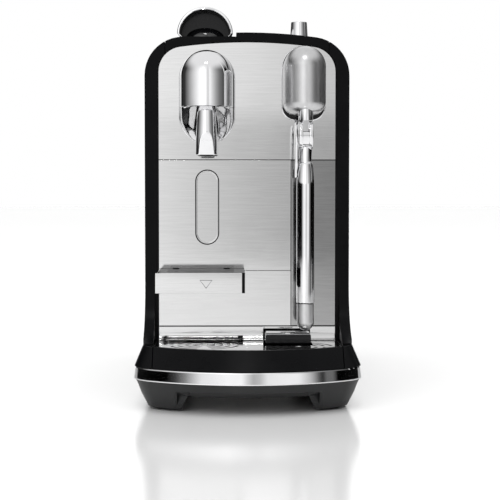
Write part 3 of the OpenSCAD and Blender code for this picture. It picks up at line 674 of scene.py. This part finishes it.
def coffee_spout():
    """Tapered spout with a slanted flat down its front, and the black nozzle inside it."""
    profile = rounded_profile([(5.4, 200), (5.4, 192.3), (8.45, 191.6), (8.2, 205), (7.4, 218),
                               (7.0, 225.5), (3, 225.5)], 0.5)
    fine = []
    for (r0, z0), (r1, z1) in zip(profile, profile[1:]):
        parts = max(1, int(abs(z1 - z0) / 0.8))
        fine += [(r0 + (r1 - r0) * k / parts, z0 + (z1 - z0) * k / parts) for k in range(parts)]
    fine.append(profile[-1])

    def flat(p):
        limit = SPOUT_Y - 6.0 - 0.06 * (p[2] - 192) - 1.6 * (max(0.0, p[2] - 200) / 11) ** 2
        return (p[0], max(p[1], limit), p[2])
    rings = lathe(COFFEE_X, SPOUT_Y, fine, 128, flat)
    shade(new_piece("spout", *skin(rings), "chrome", "machine", ("coffee_spout",)))
    nozzle = rounded_profile([(2.5, 199), (2.5, 190.7), (5.3, 190.7), (5.3, 204), (2.5, 204)], 0.5)
    rings = lathe(COFFEE_X, SPOUT_Y, nozzle)
    tube = skin(rings + [rings[0]], cap_first=False, cap_last=False)
    shade(new_piece("nozzle", *tube, "inner_black", "machine", ("spout_nozzle",)))


def steam_dome():
    """The steam head itself: a rounded chin, straight sides and a domed top."""
    half = 16.25
    shoulder = 259
    chin = 232.5
    chin_r = 9.4
    rings = []
    for a in range(88, -1, -4):
        rise = math.sin(math.radians(a))
        cut = chin_r * (1 - math.cos(math.radians(a)))
        z = chin - chin_r * rise
        rings.append(head_ring(STEAM_X, half - cut, FLANGE_Y, 17, 20 - cut, z))
    rings.append(head_ring(STEAM_X, half, FLANGE_Y, 17, 20, 245))
    for a in range(0, 90, 3):
        z = shoulder + half * math.sin(math.radians(a))
        width = dome(z, shoulder, half)
        rings.append(head_ring(STEAM_X, half * width, FLANGE_Y, 17, 20 * width, z))
    shade(new_piece("steam_dome", *skin(rings), "satin_metal", "machine", ("steam_head",)))


def steam_head():
    """The steam head, the flange behind it and the collar above the wand."""
    steam_dome()
    outline = (arc(STEAM_X, 260, 17.3, 0, 180, 40) + arc(STEAM_X - 6.3, 230, 11, 180, 270, 16)
               + arc(STEAM_X + 6.3, 230, 11, 270, 360, 16))
    pill_flange("steam_ring", outline, (STEAM_X, 247))
    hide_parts("steam_flange")
    collar = rounded_profile([(3.5, 217.8), (5.45, 217.8), (5.5, 221.5), (4.9, 222.1), (4.9, 224.5)], 0.5)
    shade(new_piece("wand_collar", *skin(lathe(STEAM_X, WAND_Y, collar)), "chrome", "machine"))


# ---- Steam wand

KNUCKLE_R = 11
KNUCKLE_HALF = 5.3
CHEEK_EDGE = 0.9
LEAF_MIDDLE_Z = 194                     # height about which the leaf's edges draw in


def wand_cheek(name, x0, x1, stands_for=()):
    """One of the knuckle's two round cheeks, with rolled edges."""
    hub = KNUCKLE_R * 0.2
    profile = [(hub, x0), (KNUCKLE_R, x0), (KNUCKLE_R, x1), (hub, x1)]
    rings = []
    for r, x in rounded_profile(profile, CHEEK_EDGE, 5):
        rings.append([(x, WAND_Y + y, WAND_Z + z) for y, z in arc(0, 0, r, 0, 360, 72)[:-1]])
    shade(new_piece(name, *skin(rings), "chrome", "wand", stands_for))


def wand_web(x0, x1):
    """The knuckle's web between its cheeks, open at the top and front where the socket's tongue swings."""
    ring = arc(0, 0, 10.6, 100, 372, 60) + arc(0, 0, 4.9, 372, 100, 40)
    rings = [[(x, WAND_Y - y, WAND_Z + z) for y, z in ring] for x in (x0, x1)]
    shade(new_piece("wand_web", *skin(rings), "chrome", "wand"))


def wand_neck():
    """Short taper from the knuckle into the tube."""
    profile = rounded_profile([(0.01, 198), (5.1, 198), (4.5, 186), (0.01, 186)], 0.6)
    shade(new_piece("wand_neck", *skin(lathe(STEAM_X, WAND_Y, profile)), "chrome", "wand"))


def wand_leaf():
    """Thin leaf beside the knuckle that narrows down to the tube."""
    x0 = STEAM_X - 8.3
    outline = [(y, WAND_Z + z) for y, z in arc(0, 0, 10.4, -20, 200, 48)]
    outline += [(-6.2, 190), (-2.5, 174.6), (0, 174), (2.5, 174.6), (6.2, 190)]
    rings = []
    for x, k in [(x0, 0.9), (x0 + 0.35, 0.98), (x0 + 0.9, 1.0), (x0 + 1.5, 0.98), (x0 + 2, 0.9)]:
        rings.append([(x, WAND_Y + y * k, LEAF_MIDDLE_Z + (z - LEAF_MIDDLE_Z) * k) for y, z in outline])
    shade(new_piece("wand_leaf", *skin(rings), "chrome", "wand"))


def wand_shaft():
    """Straight tube that swells out of the neck."""
    shoulder = [(4.5 + 2.4 * math.cos(math.radians(a)), 165 + 21 * math.sin(math.radians(a)))
                for a in range(0, 90, 4)]
    profile = [(0.01, 78.9), (6.5, 78.9), (6.85, 79.3), (6.9, 80), (6.9, 120), (6.9, 164)] + shoulder
    profile += [(4.5, 186), (4.4, 187.5), (0.01, 187.5)]
    shaft = skin(lathe(STEAM_X, WAND_Y, profile, 96))
    shade(new_piece("wand_shaft", *shaft, "chrome", "wand", ("wand_tube",)))


def wand_end():
    """Satin tip with a round nose."""
    profile = [(0.01, 57.7)] + arc(0, 64.3, 6.6, -88, 0, 22)
    profile += [(6.6, 70), (6.6, 77.8), (6.45, 78.3), (0.01, 78.4)]
    tip = skin(lathe(STEAM_X, WAND_Y, profile, 96))
    shade(new_piece("wand_end", *tip, "satin_metal", "wand", ("wand_tip",)))


def wand():
    """The knuckle, its leaf and the tube below it."""
    left = STEAM_X - KNUCKLE_HALF
    wand_cheek("wand_cheek_0", left, left + 3.0, ("wand_knuckle",))
    wand_cheek("wand_cheek_1", STEAM_X + 2.3, STEAM_X + KNUCKLE_HALF)
    wand_web(left + 2.7, STEAM_X + 2.6)
    wand_neck()
    wand_leaf()
    wand_shaft()
    wand_end()


# ---- Lever

LEVER_X = -33
LEVER_TOP = mm_box("lever_handle")[1][2]
LEVER_FOOT = 284.9
HOOD_WALL = 2.4
NOSE_HALF = 17.5
NOSE_RISE = 9.5
SOLE_HALF = 19.2
FOOT_SHARE = 0.88                       # of the hood's half width, where its side meets the foot
BEND_SHARE = 0.12                       # of the hood's height, where its straight side ends
# Depth, half width and drop of the crown below the top, from the front back
HOOD = [(-106, 22, 0), (-93, 22, 0.15), (-80, 22, 0.4), (-65, 21.9, 1.3), (-50, 21.6, 2.6), (-32, 21.3, 5),
        (-15, 20.8, 8), (0, 20.4, 10.9), (15, 20, 14), (24, 19.7, 15.9), (32, 19.4, 17.5)]


def hood_section(y, half, foot, crown, n=60):
    """Arched section of the hood, open below."""
    bend = foot + BEND_SHARE * (crown - foot)
    ring = [(LEVER_X - FOOT_SHARE * half, y, foot)]
    ring += [(LEVER_X + half * c, y, bend + (crown - bend) * s) for c, s in arc(0, 0, 1, 180, 0, n)]
    return ring + [(LEVER_X + FOOT_SHARE * half, y, foot)]


def hood_at(y, t):
    """Section of the hood at depth y, t inside its outer face."""
    for (y0, a0, d0), (y1, a1, d1) in zip(HOOD, HOOD[1:]):
        if y <= y1:
            s = (y - y0) / (y1 - y0)
            return hood_section(y, a0 + (a1 - a0) * s - t, LEVER_FOOT, LEVER_TOP - d0 - (d1 - d0) * s - t)
    return hood_section(y, HOOD[-1][1] - t, LEVER_FOOT, LEVER_TOP - HOOD[-1][2] - t)


def lever_hood():
    """Chrome hood, from inside its front edge round to its back."""
    lip = [(-104.6, HOOD_WALL), (-105.7, 2.0), (-106, 1.5), (-105.8, 0.6), (-105.2, 0.15), (-104.2, 0)]
    rings = [hood_at(y, HOOD_WALL) for y in (-80, -92)]
    rings += [hood_at(y, t) for y, t in lip]
    rings += [hood_at(y, 0) for y in range(-100, 29, 4)]
    rings += [hood_at(y, t) for y, t in [(30, 0.1), (31.4, 0.6), (32, 1.4)]]
    hood = skin(rings, closed=False, cap_first=False)
    shade(new_piece("lever_hood", *hood, "chrome", "lever", ("lever_handle",)))


def lever_lining():
    """Dark lining under the hood, which narrows inwards."""
    depths = [(-103.8, 2.45), (-98, 2.6), (-90, 3.2), (-82, 4.5), (-76, 7), (-73, 11)]
    lining = skin([hood_at(y, t) for y, t in depths], closed=False, cap_first=False)
    shade(new_piece("lever_lining", *lining, "inner_black", "lever"))


def lever_sole():
    """Thin dark plate under the hood."""
    left, right = LEVER_X - SOLE_HALF, LEVER_X + SOLE_HALF
    low, high = LEVER_FOOT + 0.05, LEVER_FOOT + 0.6
    rings = [[(left, y, low), (right, y, low), (right, y, high), (left, y, high)] for y in (-103, 30)]
    new_piece("lever_sole", *skin(rings), "inner_black", "lever")


def lever_nose():
    """Glossy rounded block in the mouth of the hood."""
    rings = []
    for k in range(25):
        a = math.radians(k * 90 / 24)
        half, rise = NOSE_HALF * math.cos(a), NOSE_RISE * math.cos(a)
        rings.append([(LEVER_X + half * x, -86 - 12 * math.sin(a), 285.6 + rise * z)
                      for x, z in arc(0, 0, 1, 0, 180, 40)])
    shade(new_piece("lever_nose", *skin(rings, cap_first=False), "gloss_black", "lever"))


def lever():
    """The lever's hood and what shows under it."""
    lever_hood()
    lever_lining()
    lever_sole()
    lever_nose()


# ---- Controls

DIAL_X = 42.3
DIAL_Y = -80


def dial():
    """Tapered knob and the stem below it."""
    profile = rounded_profile([(0.01, 288.2), (7.1, 288.2), (6.4, 300), (0.01, 300)], 0.7, 6)
    shade(new_piece("dial_knob", *skin(lathe(DIAL_X, DIAL_Y, profile, 96)), "chrome", "dial"))
    stem = rounded_profile([(0.01, 268), (3, 268), (3, 288.6), (0.01, 288.6)], 0.3)
    post = skin(lathe(DIAL_X, DIAL_Y, stem))
    shade(new_piece("dial_stem", *post, "satin_metal", "dial", ("selection_dial",)))


# ---- Base

BASE_HALF = cad_box[1][0] / MM
BASE_HALF_DEPTH = 196.5
FRONT_ARC = 130
FRONT_CORNER = 28
BACK_CORNER = 25
LIP_TOP = 23.3                          # the trim leans in above this height
TRIM_LEAN = 0.082                       # sine of its lean in front and behind
SIDE_SHARE = 0.55                       # least share of facing front or back that the lean follows


def base_plan(inset):
    """Plan of the base, drawn in by an inset."""
    return plan(BASE_HALF - inset, -BASE_HALF_DEPTH + inset, FRONT_ARC - inset, FRONT_CORNER - inset,
                BASE_HALF_DEPTH - inset, BACK_CORNER - inset)


def leaning_plan(inset, rise):
    """Base plan, drawn in more the higher it rises: by about 5 degrees in front and 9 at the sides."""
    points = base_plan(inset)
    out = []
    for k, (x, y) in enumerate(points):
        before = Vector(points[k - 1])
        after = Vector(points[(k + 1) % len(points)])
        normal = Vector((after.y - before.y, before.x - after.x)).normalized()
        shift = rise * math.tan(math.asin(TRIM_LEAN / max(SIDE_SHARE, abs(normal.y))))
        out.append((x - normal.x * shift, y - normal.y * shift))
    return out


def trim_band():
    """Chrome band that leans in towards its top, with a rolled lower lip."""
    profile = [(3.0, 22.55), (0.5, 22.55), (0.12, 22.75), (0, 23.1), (0, 23.5), (0, 23.8), (0, 31.0),
               (0, 31.4), (0.1, 31.8), (0.5, 32)]
    rings = [at_z(leaning_plan(inset, max(0, z - LIP_TOP)), z) for inset, z in profile]
    rings.append(at_z(base_plan(3.0), 32))
    verts, faces = skin(rings + [rings[0]], cap_first=False, cap_last=False)
    shade(new_piece("trim_band", verts, faces, "chrome", "machine", ("base_trim",)))


def cove():
    """Polished concave strip behind the drip grid, in two lengths beside the sensor."""
    curve = [(PANEL_Y, 57.4)] + arc(PANEL_Y - 5, 52.4, 5, 0, -80, 16, 1.03)
    back = [(PANEL_Y + 0.25, 47.25), (PANEL_Y + 0.25, 57.55)]
    for i, (x0, x1) in enumerate([(-68.9, 12.4), (49.8, 68.9)]):
        rings = [[(x, y, z) for y, z in curve + back] for x in (x0, x1)]
        shade(new_piece("cove_%d" % i, *skin(rings), "brushed_steel", "tray"))


def grip_rim():
    """Dark band round the pill-shaped grip in the container's front."""
    low, high = mm_box("grip_insert")
    middle_x, middle_z = (low[0] + high[0]) / 2, (low[2] + high[2]) / 2
    outline = pill(middle_x, low[2], high[2], (high[0] - low[0]) / 2)
    outline_band("grip_rim", outline, (middle_x, middle_z), 0.8, low[1] - 0.15, low[1] + 0.1, "inner_black",
                 "container")


def shelf_details():
    """Steel pan that closes the shelf's hollow underside, and the engraved mark on its front."""
    low, high = mm_box("cup_support_trim")
    new_box("shelf_pan", (low[0] + 4.2, low[1] + 4.2, low[2] + 0.3), (high[0] - 2.6, -128, low[2] + 1.1),
            "brushed_steel", "cup_shelf")
    height = high[2] - low[2]
    top, foot = high[2] - 0.34 * height, high[2] - 0.77 * height
    middle_x = low[0] + 0.585 * (high[0] - low[0])
    mark = [(middle_x - 4.8, top), (middle_x, foot), (middle_x + 4.8, top)]
    outline_band("shelf_mark", mark, (middle_x, (2 * top + foot) / 3), 0.8, low[1] - 0.03, low[1] + 0.1,
                 "inner_grey", "cup_shelf")


SEAM_FRONT = PANEL_Y + 0.2
SEAM_BACK = PANEL_Y + 1.4


def seam_shade_strip(name, x0, x1, z0, z1, body):
    """Dark strip in the seam between two panels: painted shade for the gap."""
    new_box(name, (x0, SEAM_FRONT, z0), (x1, SEAM_BACK, z1), "black_housing", body)


def seams():
    """Dark strips in the seams between the front panels: painted shade for the gaps."""
    upper_low, upper_high = mm_box("front_panel")
    side_low, side_high = mm_box("side_front_panel")
    front_low, front_high = mm_box("container_front")
    lower_top = mm_box("lower_front")[1][2]
    # Painted shade: black strips stand in the gaps between the panels.
    seam_shade_strip("seam_shade_upper", upper_low[0], upper_high[0], side_high[2], upper_low[2], "machine")
    seam_shade_strip("seam_shade_side", front_high[0], side_low[0], side_low[2], side_high[2], "machine")
    seam_shade_strip("seam_shade_lower", upper_low[0], front_high[0], lower_top - 0.05, front_low[2] + 0.05,
               "container")


def sensor():
    """Bright plate over the wand's sensor block."""
    low, high = mm_box("sensor_housing")
    corner = (low[0] + 0.6, low[1] + 1.2, high[2] - 0.05)
    opposite = (high[0] - 0.6, PANEL_Y + 0.1, high[2] + 0.35)
    plate = new_box("sensor_plate", corner, opposite, "chrome", "machine")
    round_edges(plate, 0.15, 2, 30)
    shade(plate)


# ---- The whole machine

# CAD nodes that shaped pieces stand for
SHAPED = {"coffee_head_cap", "coffee_head_base", "coffee_spout", "steam_head", "steam_flange",
          "wand_knuckle", "wand_tube", "wand_tip", "lever_handle", "selection_dial", "base_trim",
          "spout_nozzle"}
# Width of the rounded corners of the other nodes, in millimetres; those not named take PLAIN_WIDTH
WIDTHS = {"left_side_panel": 0.8, "right_side_panel": 0.8, "top_cover": 0.5, "drip_grid": 0.2,
          "front_panel": 0.12, "side_front_panel": 0.12, "sensor_housing": 1.0, "container_front": 0.12,
          "lower_front": 0.12, "cup_support_trim": 0.4, "water_hoses": 0, "steam_pipe": 0,
          "display_glass": 0.15, "control_panel": 0.2, "circuit_boards": 0.2, "grip_insert": 0.4,
          "base_frame": 0.7, "drip_tray": 0.7, "base_skirt": 0.7}
PLAIN_WIDTH = 0.4


make_camera()
make_world()
make_stage()
make_lights()
for node in NODES:
    if node not in SHAPED:
        finish_node(node, WIDTHS.get(node, PLAIN_WIDTH))
coffee_head()
coffee_spout()
steam_head()
wand()
lever()
dial()
trim_band()
cove()
seams()
grip_rim()
shelf_details()
sensor()
